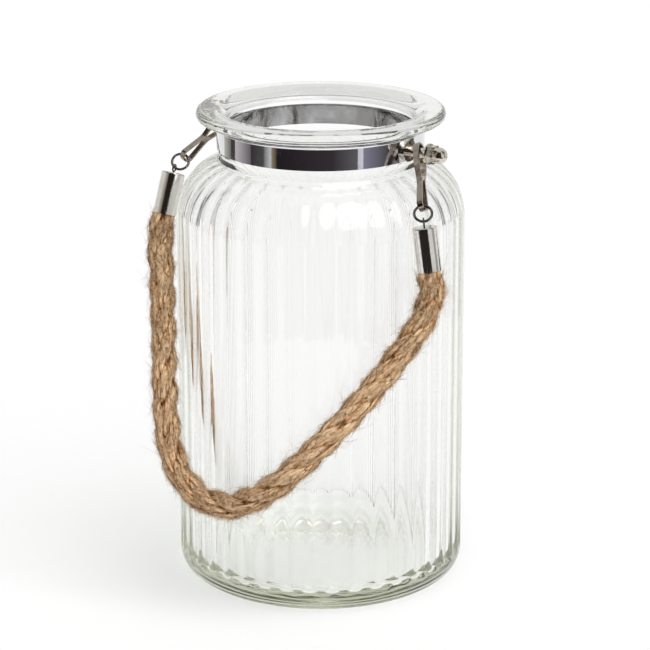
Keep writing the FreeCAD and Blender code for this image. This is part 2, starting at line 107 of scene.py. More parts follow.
# Loose fibres by layer: name, the setting that counts them, points along a fibre, its length in metres, the
# spread of headings, how much it stands up, and the least and largest radius in metres
FIBRE_LAYERS = (
    ("rope_nap_under", "nap", 3, 4.2 * MM, 0.35, 0.20, (0.070 * MM, 0.140 * MM)),
    ("rope_nap_over", "nap", 3, 3.2 * MM, 0.75, 0.50, (0.045 * MM, 0.090 * MM)),
    ("rope_fuzz", "nap", 3, 2.4 * MM, 1.25, 1.10, (0.030 * MM, 0.060 * MM)),
    ("rope_hairs", "hairs", 5, 5.4 * MM, 0.45, 0.85, (0.035 * MM, 0.070 * MM)),
)
# Corners of a loose fibre's section, in degrees
FIBRE_CORNERS = (90.0, 210.0, 330.0)
FIBRE_SIDES = len(FIBRE_CORNERS)
# Loose fibres keep this far from the rope's ends and from the glass, and grow on this arc of a strand, as
# radians to either side of its crown
FIBRE_START, GLASS_GAP, FIBRE_ARC = 16 * MM, 0.3 * MM, 1.08
# Their mean heading in radians, the scatter of their lengths, and the shape of the draw for their rise
FIBRE_HEADING, LENGTH_SCATTER, RISE_DRAW = -0.30, 0.42, (1.3, 4.5)
# Power of the way to the tip by which they lift, their curl by length and its turn, and the taper
LIFT_POWER, CURL_SCATTER, CURL_TURN, FIBRE_TAPER = 1.7, 0.16, 2.4, 0.65
# Their tone in the grooves, darker as painted shade, how much lighter it is on the crowns as painted light,
# and its random scatter
SHADED_GROOVE_TONE, CROWN_PAINTED_LIGHT, TONE_SCATTER = 0.20, 0.62, 0.36

# Columns across one flute, as shares of its width, crowded at its edges
FLUTE_COLUMNS = (-0.5, -0.455, -0.415, -0.355, -0.25, -0.125, 0.0, 0.125, 0.25, 0.355, 0.415, 0.455)
# Height over a flute's lower end with crowded rows, and how far off the bar its soft edge reaches
TONGUE_ROWS, PRESS_REACH = 15 * MM, 2 * MM

# Cards round the stage: start and end in degrees from the camera's direction, low and high edge in
# metres, and the tones at the start and at the end. The front ones show in bright metal, the edge ones
# through the glass.
LOW, BENCH, SHELF, TOP, ROOF = 0.0, 0.085, 0.135, 0.45, 1.1
FRONT_CARDS = (
    (-128, -112, BENCH, SHELF, (0.62, 0.61, 0.54), (0.20, 0.19, 0.17)),
    (-112, -104, BENCH, SHELF, (0.06, 0.05, 0.055), (0.08, 0.07, 0.07)),
    (-104, -79, BENCH, SHELF, (0.64, 0.61, 0.62), (0.16, 0.14, 0.15)),
    (-79, -62, BENCH, SHELF, (0.045, 0.04, 0.045), (0.09, 0.09, 0.09)),
    (-62, -53, BENCH, SHELF, (0.18, 0.18, 0.18), (0.72, 0.72, 0.73)),
    (-53, -47, BENCH, SHELF, (0.34, 0.28, 0.20), (0.10, 0.07, 0.04)),
    (-47, 14, BENCH, SHELF, (0.020, 0.016, 0.020), (0.045, 0.038, 0.042)),
    (14, 39, BENCH, SHELF, (0.05, 0.047, 0.05), (0.14, 0.135, 0.145)),
    (39, 45, BENCH, SHELF, (0.70, 0.70, 0.76), (0.80, 0.80, 0.85)),
    (45, 75, BENCH, SHELF, (0.27, 0.26, 0.34), (0.08, 0.08, 0.085)),
    (75, 92, BENCH, SHELF, (0.025, 0.025, 0.025), (0.09, 0.085, 0.085)),
    (92, 99, BENCH, SHELF, (0.68, 0.64, 0.66), (0.72, 0.68, 0.70)),
    (99, 119, LOW, SHELF, (0.035, 0.03, 0.03), (0.14, 0.12, 0.11)),
    (-47, 47, LOW, BENCH, (0.022, 0.017, 0.012), (0.03, 0.025, 0.02)),
    (-80, -45, SHELF, TOP, (0.70, 0.64, 0.56), (0.16, 0.135, 0.11)),
    (-45, 28, SHELF, ROOF, (0.020, 0.016, 0.012), (0.03, 0.025, 0.02)),
    (62, 84, SHELF, TOP, (0.38, 0.36, 0.35), (0.50, 0.48, 0.46)),
    (-112, -58, TOP, ROOF, (0.10, 0.085, 0.075), (0.03, 0.025, 0.02)),
    (56, 92, TOP, ROOF, (0.06, 0.05, 0.045), (0.12, 0.105, 0.095)),
)
EDGE_WIDTH, EDGE_LOW, EDGE_HIGH = 12, 0.1, 0.7
EDGE_TONES = ((118, 0.24), (-130, 0.14), (74, 0.32), (-86, 0.18))
EDGE_CARDS = tuple(
    (start, start + EDGE_WIDTH, EDGE_LOW, EDGE_HIGH, (tone,) * 3, (tone,) * 3) for start, tone in EDGE_TONES
)
# How far the cards stand from the jar's axis, in metres, and the panels in one card
FRONT_AWAY, EDGE_AWAY, CARD_STEPS = 0.50, 0.48, 12
# Half of the floor's width in metres, and how far the floor lies under the foot
FLOOR_REACH, FLOOR_DROP = 8.0, 0.3 * MM

# How far smudges turn plate to its stain
STAIN_SHARE = 0.35
# Finishes: name, how its nodes' names start, the settings of its colour and of a bare inside, least and
# largest roughness, fineness of its smudges and depth of its scratches
FINISHES = (
    ("Chromed strip", ("neck_band",), "chrome", "strip_back", (0.03, 0.13), 70.0, 0.04),
    ("Chromed ferrule", ("ferrule",), "ferrule", None, (0.06, 0.20), 160.0, 0.08),
    # The straps' colour is darkened as painted shade, for the dark surroundings that they reflect; their
    # smudged stain is tarnish
    ("Tarnished nickel", ("strap",), "strap", None, (0.12, 0.32), 320.0, 0.12),
    ("Tarnished wire", ("ring", "eye"), "wire", None, (0.10, 0.28), 400.0, 0.10),
    ("Bright nickel", ("stud", "spacer", "retaining", "dome_nut"), "nickel", None, (0.10, 0.30), 260.0, 0.10),
)


def length(label, millimetres, words):
    """A length property, given in millimetres and kept in metres."""
    return FloatProperty(
        name=label, description=words, default=millimetres * MM, min=0.0, unit="LENGTH", precision=5
    )


def share(label, default, words):
    """A property from nought to one."""
    return FloatProperty(
        name=label, description=words, default=default, min=0.0, max=1.0, subtype="FACTOR"
    )


def angle(label, degrees, words):
    """An angle property, given in degrees and kept in radians."""
    return FloatProperty(name=label, description=words, default=math.radians(degrees), subtype="ANGLE")


def colour(label, default, words):
    """A colour property."""
    return FloatVectorProperty(
        name=label, description=words, default=default, size=3, min=0.0, max=1.0, subtype="COLOR"
    )


class LanternJar(PropertyGroup):
    """Sizes and tint of the glass."""

    body_radius: length("Body radius", 70.0, "Outside radius of the jar's wall")
    heel_radius: length("Heel radius", 11.5, "Rounding between foot and wall")
    shoulder_start: length("Shoulder start", 182.0, "Height at which the wall turns in")
    shoulder_radius: length("Shoulder radius", 28.5, "Rounding of the shoulder")
    neck_radius: length("Neck radius", 49.5, "Outside radius of the neck")
    neck_ease: length("Neck ease", 2.4, "Rounding between shoulder and neck, inside")
    mouth_radius: length("Mouth radius", 45.5, "Inside radius of the neck")
    rim_radius: length("Rim radius", 60.3, "Outside radius of the lip")
    rim_bottom: length("Rim bottom", 229.0, "Height of the lip's underside")
    rim_height: length("Rim height", 5.5, "Height of the lip")
    rim_corner: length("Rim corner", 2.6, "Rounding of the lip's outside")
    lip_corner: length("Lip corner", 6.0, "Rounding of the lip's inside")
    wall: length("Wall", 4.0, "Thickness of the wall")
    floor: length("Floor", 8.5, "Thickness of the floor")
    inner_heel: length("Inner heel", 9.0, "Rounding between floor and wall, inside")
    rest_radius: length("Rest radius", 46.0, "Inside radius of the ring that the jar stands on")
    push_up: length("Push-up", 2.5, "Rise of the foot's middle")
    flute_count: IntProperty(name="Flutes", description="Flutes round the jar", default=40, min=3)
    flute_radius: length("Flute radius", 9.5, "Radius of the bar that presses a flute")
    flute_depth: length("Flute depth", 1.3, "Depth of a flute in the wall")
    flute_foot: length("Flute foot", 12.0, "Height of a flute's rounded lower end")
    flute_run_out: length("Flute run-out", 2.3, "How far the pressing bar lifts off over the shoulder")
    flute_soften: length("Flute softening", 0.22, "Fire polish on the flutes' edges")
    tint: colour("Glass tint", (0.982, 0.981, 0.984), "Colour of the glass surface")
    shadow: colour("Shadow", (0.89, 0.90, 0.89), "Colour of light that one face of the glass lets by")
    depth_tint: colour("Depth tint", (0.62, 0.645, 0.47), "Colour of thick glass")
    depth_density: FloatProperty(
        name="Depth density", description="How fast thick glass takes its colour", default=10.0, min=0.0
    )


class LanternRope(PropertyGroup):
    """Lay and colours of the rope."""

    diameter: length("Diameter", 11.4, "Rope diameter")
    lay: length("Lay", 45.0, "Length of one turn of the strands")
    yarn_lay: length("Yarn lay", 30.0, "Length of one turn of the yarns in a strand")
    strand_share: share("Strand share", 0.525, "Radius of a strand as a share of the rope's radius")
    strand_oval: FloatProperty(
        name="Strand oval", description="Width of a strand over its height", default=1.14, min=1.0
    )
    yarns: IntProperty(name="Yarns", description="Yarns round a strand", default=6, min=3)
    yarn_height: length("Yarn height", 0.26, "Height of a yarn's crown over its groove")
    relief: length("Fibre relief", 0.30, "Height of the fibre bundles on a strand")
    nap: IntProperty(name="Nap", description="Fibres in each short layer", default=9000, min=0)
    hairs: IntProperty(name="Hairs", description="Long fibres that stand off the rope", default=2600, min=0)
    seed: IntProperty(name="Seed", description="Seed of the loose fibres", default=11)
    # The dark colour also paints the shade in the grooves, and the light colour the painted light on the
    # crowns
    dark: colour("Dark fibre", (0.13, 0.034, 0.006), "Colour in the grooves")
    middle: colour("Middle fibre", (0.71, 0.365, 0.155), "Colour of most of the rope")
    light: colour("Light fibre", (1.0, 0.76, 0.49), "Colour of bleached fibres")


class LanternMetal(PropertyGroup):
    """Colours of the plated pieces."""

    chrome: colour("Chrome", (0.72, 0.71, 0.73), "Colour of the neck band")
    chrome_stain: colour("Chrome stain", (0.50, 0.49, 0.51), "Colour of its dull places")
    strip_back: colour("Strip back", (0.235, 0.23, 0.23), "Colour of the neck band's unplated inside")
    nickel: colour("Nickel", (0.66, 0.61, 0.54), "Colour of studs and nuts")
    nickel_stain: colour("Nickel stain", (0.40, 0.34, 0.27), "Colour of their tarnish")
    # The straps' colour is darkened as painted shade, for the dark surroundings that they reflect
    strap: colour("Strap", (0.34, 0.292, 0.25), "Colour of the straps")
    strap_stain: colour("Strap stain", (0.12, 0.095, 0.075), "Colour of their tarnish")
    wire: colour("Wire", (0.19, 0.17, 0.155), "Colour of rings and eyes")
    wire_stain: colour("Wire stain", (0.06, 0.05, 0.04), "Colour of their tarnish")
    ferrule: colour("Ferrule", (0.74, 0.72, 0.69), "Colour of the ferrules")
    ferrule_stain: colour("Ferrule stain", (0.46, 0.43, 0.39), "Colour of their dull places")


class LanternStage(PropertyGroup):
    """Camera and light."""

    azimuth: angle("Azimuth", 36.0, "Camera's turn round the jar")
    distance: length("Distance", 1305.8, "Camera's distance from the jar's axis")
    height: length("Height", 530.0, "Camera's height over the floor")
    pitch: FloatProperty(
        name="Pitch", description="Camera's tilt below the horizon", default=0.255, subtype="ANGLE"
    )
    lens: FloatProperty(name="Lens", description="Focal length in millimetres", default=153.80, min=1.0)
    shift_x: FloatProperty(name="Shift X", description="Camera shift to the right", default=0.0065)
    shift_y: FloatProperty(name="Shift Y", description="Camera shift upwards", default=-0.1975)
    sky: share("Sky", 0.60, "Strength of the even light")
    key: FloatProperty(name="Key", description="Strength of the key light", default=2.1, min=0.0)
    key_spread: angle("Key spread", 60.0, "How wide the key light looks from the jar")
    key_forward: angle("Key forward", 10.0, "Tilt of the key light to the jar's front")
    key_aside: angle("Key aside", 38.0, "Tilt of the key light to the jar's right")
    paper: colour("Paper", (0.9, 0.9, 0.9), "Colour of the floor")
    lift: share("Floor lift", 0.12, "Light added to the floor where it is looked at")


def run(start, end, steps):
    """Points of a straight run in a section, as radius and height, without its end."""
    part = np.linspace(0.0, 1.0, steps, endpoint=False)[:, None]
    return np.array(start) * (1.0 - part) + np.array(end) * part


def bend(centre, radius, start, end, steps):
    """Points of an arc in a section: centre plus radius along an angle in degrees, without its end."""
    turn = np.radians(np.linspace(start, end, steps, endpoint=False))
    return np.array(centre) + radius * np.stack([np.cos(turn), np.sin(turn)], axis=1)


def mesh_object(name, points, polygons):
    """A smooth-shaded mesh object from an array of points and arrays of equal-sided polygons."""
    mesh = bpy.data.meshes.new(name)
    corners = np.concatenate([part.ravel() for part in polygons])
    sides = np.concatenate([np.full(len(part), part.shape[1]) for part in polygons])
    starts = np.concatenate([[0], np.cumsum(sides)[:-1]])
    mesh.vertices.add(len(points))
    mesh.vertices.foreach_set("co", np.asarray(points, np.float32).ravel())
    mesh.loops.add(len(corners))
    mesh.loops.foreach_set("vertex_index", corners.astype(np.int32))
    mesh.polygons.add(len(sides))
    mesh.polygons.foreach_set("loop_start", starts.astype(np.int32))
    mesh.polygons.foreach_set("use_smooth", np.ones(len(sides), bool))
    mesh.update(calc_edges=True)
    if mesh.validate():
        raise RuntimeError(name + " has faulty faces")
    made = bpy.data.objects.new(name, mesh)
    bpy.context.scene.collection.objects.link(made)
    return made


def set_attribute(made, name, kind, values):
    """Keeps one value for each point of a mesh under a name that its material reads."""
    layer = made.data.attributes.new(name, kind, "POINT")
    field = "vector" if kind == "FLOAT_VECTOR" else "value"
    layer.data.foreach_set(field, np.asarray(values, np.float32).ravel())


def grid_quads(rows, columns, first=0):
    """Quads of a grid of rows by columns that closes round its columns."""
    row = np.arange(rows - 1)[:, None]
    column = np.arange(columns)[None, :]
    onward = (column + 1) % columns
    low = first + row * columns
    high = low + columns
    return np.stack([low + column, low + onward, high + onward, high + column], axis=2).reshape(-1, 4)


def fan(centre, ring):
    """Triangles from one point to each side of a ring."""
    return np.stack([np.full(len(ring), centre), ring, np.roll(ring, -1)], axis=1)


def jar_section(jar):
    """Section of the jar from the middle of its foot, up the outside, over the lip and down inside."""
    rim_top = jar.rim_bottom + jar.rim_height
    rim_core = jar.rim_radius - jar.rim_corner
    shoulder = (jar.body_radius - jar.shoulder_radius, jar.shoulder_start)
    neck_turn = math.degrees(math.acos((jar.neck_radius - shoulder[0]) / jar.shoulder_radius))
    neck_foot = jar.shoulder_start + jar.shoulder_radius * math.sin(math.radians(neck_turn))
    dome = (jar.rest_radius ** 2 + jar.push_up ** 2) / (2 * jar.push_up)
    dome_turn = math.degrees(math.asin(jar.rest_radius / dome))
    inner = jar.body_radius - jar.wall
    inner_shoulder = jar.shoulder_radius - jar.wall
    ease_out = jar.mouth_radius + jar.neck_ease - shoulder[0]
    ease_up = math.sqrt((inner_shoulder + jar.neck_ease) ** 2 - ease_out ** 2)
    ease = (shoulder[0] + ease_out, jar.shoulder_start + ease_up)
    ease_turn = math.degrees(math.atan2(ease_up, ease_out))
    lip = (jar.mouth_radius + jar.lip_corner, rim_top - jar.lip_corner)
    heel = jar.body_radius - jar.heel_radius
    inner_heel = (inner - jar.inner_heel, jar.floor + jar.inner_heel)
    tongue_top = jar.flute_foot + TONGUE_ROWS
    rim_low = jar.rim_bottom + jar.rim_corner
    rim_high = rim_top - jar.rim_corner
    return np.concatenate([
        bend((0, jar.push_up - dome), dome, 90, 90 - dome_turn, steps=10)[1:],
        run((jar.rest_radius, 0), (heel, 0), steps=4),
        bend((heel, jar.heel_radius), jar.heel_radius, -90, 0, steps=12),
        run((jar.body_radius, jar.heel_radius), (jar.body_radius, tongue_top), steps=24),
        run((jar.body_radius, tongue_top), (jar.body_radius, jar.shoulder_start), steps=16),
        bend(shoulder, jar.shoulder_radius, 0, neck_turn, steps=34),
        run((jar.neck_radius, neck_foot), (jar.neck_radius, jar.rim_bottom), steps=4),
        run((jar.neck_radius, jar.rim_bottom), (rim_core, jar.rim_bottom), steps=3),
        bend((rim_core, rim_low), jar.rim_corner, -90, 0, steps=9),
        run((jar.rim_radius, rim_low), (jar.rim_radius, rim_high), steps=3),
        bend((rim_core, rim_high), jar.rim_corner, 0, 90, steps=9),
        run((rim_core, rim_top), (lip[0], rim_top), steps=4),
        bend(lip, jar.lip_corner, 90, 180, steps=8),
        run((jar.mouth_radius, lip[1]), (jar.mouth_radius, ease[1]), steps=5),
        bend(ease, jar.neck_ease, 180, 180 + ease_turn, steps=5),
        bend(shoulder, inner_shoulder, ease_turn, 0, steps=16),
        run((inner, jar.shoulder_start), (inner, inner_heel[1]), steps=8),
        bend(inner_heel, jar.inner_heel, 0, -90, steps=10),
        run((inner_heel[0], jar.floor), (0, jar.floor), steps=6),
    ])


def press_flutes(jar, points):
    """Pushes points out of the pressing bar. The bar's axis rises along the wall and bends over the
    shoulder on its own larger arc; a point nearer to the axis than the bar's radius moves straight
    away from it until it lies on the bar, with the step at the edge eased over a small width."""
    reach = jar.body_radius + jar.flute_radius - jar.flute_depth
    end_drop = math.sqrt(jar.flute_radius ** 2 - (jar.flute_radius - jar.flute_depth) ** 2)
    axis_low = jar.flute_foot + end_drop
    hub = jar.body_radius - jar.shoulder_radius - jar.flute_run_out
    x, z = points[..., 0], points[..., 2]
    above = np.maximum(z - jar.shoulder_start, 0.0)
    spoke = np.hypot(x - hub, above)
    over = above > 0.0
    axis_x = np.where(over, hub + (x - hub) / spoke * (reach - hub), reach)
    axis_z = np.where(over, jar.shoulder_start + above / spoke * (reach - hub), np.maximum(z, axis_low))
    axis = np.stack([axis_x, np.zeros_like(axis_x), axis_z], axis=-1)
    away = points - axis
    gap = np.linalg.norm(away, axis=-1, keepdims=True)
    inside = jar.flute_radius - gap
    push = (inside + np.sqrt(inside ** 2 + jar.flute_soften ** 2)) / 2
    return points + away / gap * np.where(inside > -PRESS_REACH, push, 0.0)


def jar_points(jar):
    """The jar as a grid: its section turned round the axis in columns that crowd at the flutes' edges,
    each point of the outer wall and shoulder then pressed by the flute nearest to it."""
    section = jar_section(jar)
    pitch = 2 * math.pi / jar.flute_count
    local = np.tile(np.array(FLUTE_COLUMNS) * pitch, jar.flute_count)
    centre = np.repeat(np.arange(jar.flute_count) * pitch, len(FLUTE_COLUMNS))
    radius, height = section[:, 0, None], section[:, 1, None]
    flat = np.stack([
        radius * np.cos(local), radius * np.sin(local), np.broadcast_to(height, (len(section), len(local)))
    ], axis=2)
    top = int(np.argmax(section[:, 1]))
    is_outer = np.arange(len(section)) < top
    shoulder_top = jar.shoulder_start + jar.shoulder_radius
    fluted = is_outer & (section[:, 1] > jar.heel_radius - MM) & (section[:, 1] < shoulder_top - MM)
    flat[fluted] = press_flutes(jar, flat[fluted])
    x = flat[..., 0] * np.cos(centre) - flat[..., 1] * np.sin(centre)
    y = flat[..., 0] * np.sin(centre) + flat[..., 1] * np.cos(centre)
    return np.stack([x, y, flat[..., 2]], axis=2)


def new_material(name):
    """An empty node material with its output."""
    made = bpy.data.materials.new(name)
    made.use_nodes = True
    made.node_tree.nodes.clear()
    output = made.node_tree.nodes.new("ShaderNodeOutputMaterial")
    return made, made.node_tree, output


def add_node(tree, kind, inputs=None, **settings):
    """A node with settings, and inputs given as values or as sockets to link from."""
    node = tree.nodes.new(kind)
    for name, value in settings.items():
        setattr(node, name, value)
    for name, value in (inputs or {}).items():
        if isinstance(value, bpy.types.NodeSocket):
            tree.links.new(value, node.inputs[name])
        else:
            node.inputs[name].default_value = value
    return node


def new_group(name, inputs, outputs):
    """A shader node group with named float inputs and outputs."""
    tree = bpy.data.node_groups.new(name, "ShaderNodeTree")
    for label, default in inputs:
        socket = tree.interface.new_socket(label, in_out="INPUT", socket_type="NodeSocketFloat")
        socket.default_value = default
    for label in outputs:
        tree.interface.new_socket(label, in_out="OUTPUT", socket_type="NodeSocketFloat")
    return tree, tree.nodes.new("NodeGroupInput"), tree.nodes.new("NodeGroupOutput")


def handling_group():
    """Marks of handling on plate: broad smudges and fine scratches, as a mask and a height."""
    tree, source, sink = new_group("Handling marks", [("Smudge Size", 90.0), ("Scratch Size", 900.0)],
                                   ["Smudge", "Height"])
    place = add_node(tree, "ShaderNodeTexCoord")
    smudge = add_node(tree, "ShaderNodeTexNoise", {
        "Vector": place.outputs["Object"], "Scale": source.outputs["Smudge Size"],
        "Detail": 4.0, "Roughness": 0.62, "Distortion": 0.8})
    mask = add_node(tree, "ShaderNodeMapRange", {
        "Value": smudge.outputs["Fac"], "From Min": 0.42, "From Max": 0.74})
    squash = add_node(tree, "ShaderNodeMapping", {
        "Vector": place.outputs["Object"], "Scale": (0.12, 0.12, 1.0)})
    scratch = add_node(tree, "ShaderNodeTexNoise", {
        "Vector": squash.outputs["Vector"], "Scale": source.outputs["Scratch Size"],
        "Detail": 3.0, "Roughness": 0.7})
    height = add_node(tree, "ShaderNodeMath", {0: scratch.outputs["Fac"], 1: mask.outputs["Result"]},
                      operation="ADD")
    tree.links.new(mask.outputs["Result"], sink.inputs["Smudge"])
    tree.links.new(height.outputs["Value"], sink.inputs["Height"])
    return tree


def streak_group():
    """Fibre streaks along a strand: fine and broad noise drawn out along the yarns, and a height."""
    tree, source, sink = new_group("Fibre streaks", [("Fineness", 2600.0)], ["Streak", "Patch", "Height"])
    line = add_node(tree, "ShaderNodeAttribute", attribute_name="fibre_line")
    fine = add_node(tree, "ShaderNodeTexNoise", {
        "Vector": line.outputs["Vector"], "Scale": source.outputs["Fineness"],
        "Detail": 4.0, "Roughness": 0.65})
    patch = add_node(tree, "ShaderNodeTexNoise", {
        "Vector": line.outputs["Vector"], "Scale": 640.0, "Detail": 3.0, "Roughness": 0.6})
    streak = add_node(tree, "ShaderNodeMapRange", {
        "Value": fine.outputs["Fac"], "From Min": 0.30, "From Max": 0.70})
    tree.links.new(streak.outputs["Result"], sink.inputs["Streak"])
    tree.links.new(patch.outputs["Fac"], sink.inputs["Patch"])
    tree.links.new(fine.outputs["Fac"], sink.inputs["Height"])
    return tree


def shared_group(name, make):
    """A node group by its name, made on first use."""
    return bpy.data.node_groups.get(name) or make()


def glass_material(jar):
    """Clear pressed glass: faint waves in its surface, and an olive tint that grows with depth."""
    made, tree, output = new_material("Clear pressed glass")
    place = add_node(tree, "ShaderNodeTexCoord")
    wave = add_node(tree, "ShaderNodeTexNoise", {
        "Vector": place.outputs["Object"], "Scale": 55.0, "Detail": 2.0, "Roughness": 0.5})
    bump = add_node(tree, "ShaderNodeBump", {
        "Height": wave.outputs["Fac"], "Strength": 0.10, "Distance": 0.002})
    film = add_node(tree, "ShaderNodeMapRange", {
        "Value": wave.outputs["Fac"], "From Min": 0.35, "From Max": 0.8, "To Min": 0.0, "To Max": 0.02})
    glass = add_node(tree, "ShaderNodeBsdfPrincipled", {
        "Base Color": (*jar.tint, 1.0), "Metallic": 0.0, "IOR": 1.5, "Transmission Weight": 1.0,
        "Roughness": film.outputs["Result"], "Normal": bump.outputs["Normal"]})
    clear = add_node(tree, "ShaderNodeBsdfTransparent", {"Color": (*jar.shadow, 1.0)})
    path = add_node(tree, "ShaderNodeLightPath")
    mixed = add_node(tree, "ShaderNodeMixShader", {
        0: path.outputs["Is Shadow Ray"], 1: glass.outputs["BSDF"], 2: clear.outputs["BSDF"]})
    depth = add_node(tree, "ShaderNodeVolumeAbsorption", {
        "Color": (*jar.depth_tint, 1.0), "Density": jar.depth_density})
    tree.links.new(mixed.outputs["Shader"], output.inputs["Surface"])
    tree.links.new(depth.outputs["Volume"], output.inputs["Volume"])
    return made


def inner_face(tree):
    """One on faces that look towards the jar's axis: the normal against the way out from the axis."""
    place = add_node(tree, "ShaderNodeTexCoord")
    flat = add_node(tree, "ShaderNodeVectorMath", {0: place.outputs["Object"], 1: (1.0, 1.0, 0.0)},
                    operation="MULTIPLY")
    facing = add_node(tree, "ShaderNodeNewGeometry")
    dot = add_node(tree, "ShaderNodeVectorMath", {
        0: facing.outputs["True Normal"], 1: flat.outputs["Vector"]}, operation="DOT_PRODUCT")
    return add_node(tree, "ShaderNodeMath", {0: dot.outputs["Value"], 1: 0.0}, operation="LESS_THAN")


def plate_material(name, bright, stain, inside, rough, smudge_size, scratch):
    """Bright plate whose colour and gloss vary with smudges and fine scratches, and whose face towards
    the jar may be left dull."""
    made, tree, output = new_material(name)
    marks = add_node(tree, "ShaderNodeGroup", node_tree=shared_group("Handling marks", handling_group))
    marks.inputs["Smudge Size"].default_value = smudge_size
    soft = add_node(tree, "ShaderNodeMapRange", {
        "Value": marks.outputs["Smudge"], "To Min": rough[0], "To Max": rough[1]})
    faint = add_node(tree, "ShaderNodeMath", {0: marks.outputs["Smudge"], 1: STAIN_SHARE},
                     operation="MULTIPLY")
    tone = add_node(tree, "ShaderNodeMix", {
        "Factor": faint.outputs["Value"], "A": (*bright, 1.0), "B": (*stain, 1.0)}, data_type="RGBA")
    bump = add_node(tree, "ShaderNodeBump", {
        "Height": marks.outputs["Height"], "Strength": scratch, "Distance": 0.0002})
    plate = add_node(tree, "ShaderNodeBsdfPrincipled", {
        "Base Color": tone.outputs["Result"], "Metallic": 1.0,
        "Roughness": soft.outputs["Result"], "Normal": bump.outputs["Normal"]})
    if inside:
        within = inner_face(tree)
        bare = add_node(tree, "ShaderNodeMix", {
            "Factor": marks.outputs["Smudge"], "A": (*inside, 1.0), "B": (*stain, 1.0)}, data_type="RGBA")
        dull = add_node(tree, "ShaderNodeMix", {
            "Factor": within.outputs["Value"], "A": tone.outputs["Result"], "B": bare.outputs["Result"]},
            data_type="RGBA")
        tree.links.new(dull.outputs["Result"], plate.inputs["Base Color"])
    tree.links.new(plate.outputs["BSDF"], output.inputs["Surface"])
    return made


def jute_material(rope, name, shade_name):
    """Jute: light and dark fibre streaks, with painted shade that sinks the colour to brown in the grooves
    and painted light on the crowns, read from an attribute.
    """
    made, tree, output = new_material(name)
    streaks = add_node(tree, "ShaderNodeGroup", node_tree=shared_group("Fibre streaks", streak_group))
    # Painted light and shade of the grooves and crowns, read from the mesh, plus the fibres' own tone
    depth = add_node(tree, "ShaderNodeAttribute", attribute_name=shade_name)
    patch = add_node(tree, "ShaderNodeMapRange", {
        "Value": streaks.outputs["Patch"], "From Min": 0.36, "From Max": 0.64,
        "To Min": -0.36, "To Max": 0.44})
    lift = add_node(tree, "ShaderNodeMath", {0: depth.outputs["Fac"], 1: patch.outputs["Result"]},
                    operation="ADD")
    thread = add_node(tree, "ShaderNodeMapRange", {
        "Value": streaks.outputs["Streak"], "To Min": -0.30, "To Max": 0.30})
    level = add_node(tree, "ShaderNodeMath", {0: lift.outputs["Value"], 1: thread.outputs["Result"]},
                     operation="ADD")
    ramp = add_node(tree, "ShaderNodeValToRGB", {"Fac": level.outputs["Value"]})
    stops = ramp.color_ramp.elements
    stops.new(JUTE_STOPS[1])
    for stop, place, shade in zip(stops, JUTE_STOPS, (rope.dark, rope.middle, rope.light)):
        stop.position = place
        stop.color = (*shade, 1.0)
    bump = add_node(tree, "ShaderNodeBump", {
        "Height": streaks.outputs["Height"], "Strength": 0.85, "Distance": 0.0006})
    jute = add_node(tree, "ShaderNodeBsdfPrincipled", {
        "Base Color": ramp.outputs["Color"], "Roughness": 0.86, "Specular IOR Level": 0.12,
        "Normal": bump.outputs["Normal"]})
    tree.links.new(jute.outputs["BSDF"], output.inputs["Surface"])
    return made


def unit(vectors):
    """Vectors scaled to length one."""
    return vectors / np.linalg.norm(vectors, axis=-1, keepdims=True)


def route_line():
    """Points read from a smooth curve that has the route as its control points."""
    curve = bpy.data.curves.new("rope_route", "CURVE")
    curve.dimensions = "3D"
    spline = curve.splines.new("NURBS")
    spline.points.add(len(ROUTE) - 1)
    spline.points.foreach_set("co", np.column_stack([ROUTE, np.ones(len(ROUTE))]).ravel())
    spline.order_u = 3
    spline.use_endpoint_u = True
    spline.resolution_u = 36
    carrier = bpy.data.objects.new("rope_route", curve)
    mesh = bpy.data.meshes.new_from_object(carrier)
    line = np.zeros(len(mesh.vertices) * 3)
    mesh.vertices.foreach_get("co", line)
    line = line.reshape(-1, 3)
    bpy.data.objects.remove(carrier)
    bpy.data.curves.remove(curve)
    bpy.data.meshes.remove(mesh)
    steps = np.linalg.norm(np.diff(line, axis=0), axis=1)
    return line[np.concatenate([[True], steps > SAME_POINT])]


def ripple(distance, number, waves):
    """A slow uneven swell along each strand: a sum of sines, each with a length, a size and a shift that
    grows with the strand's number."""
    return sum(size * np.sin(2 * math.pi * distance / long + shift * number) for long, size, shift in waves)


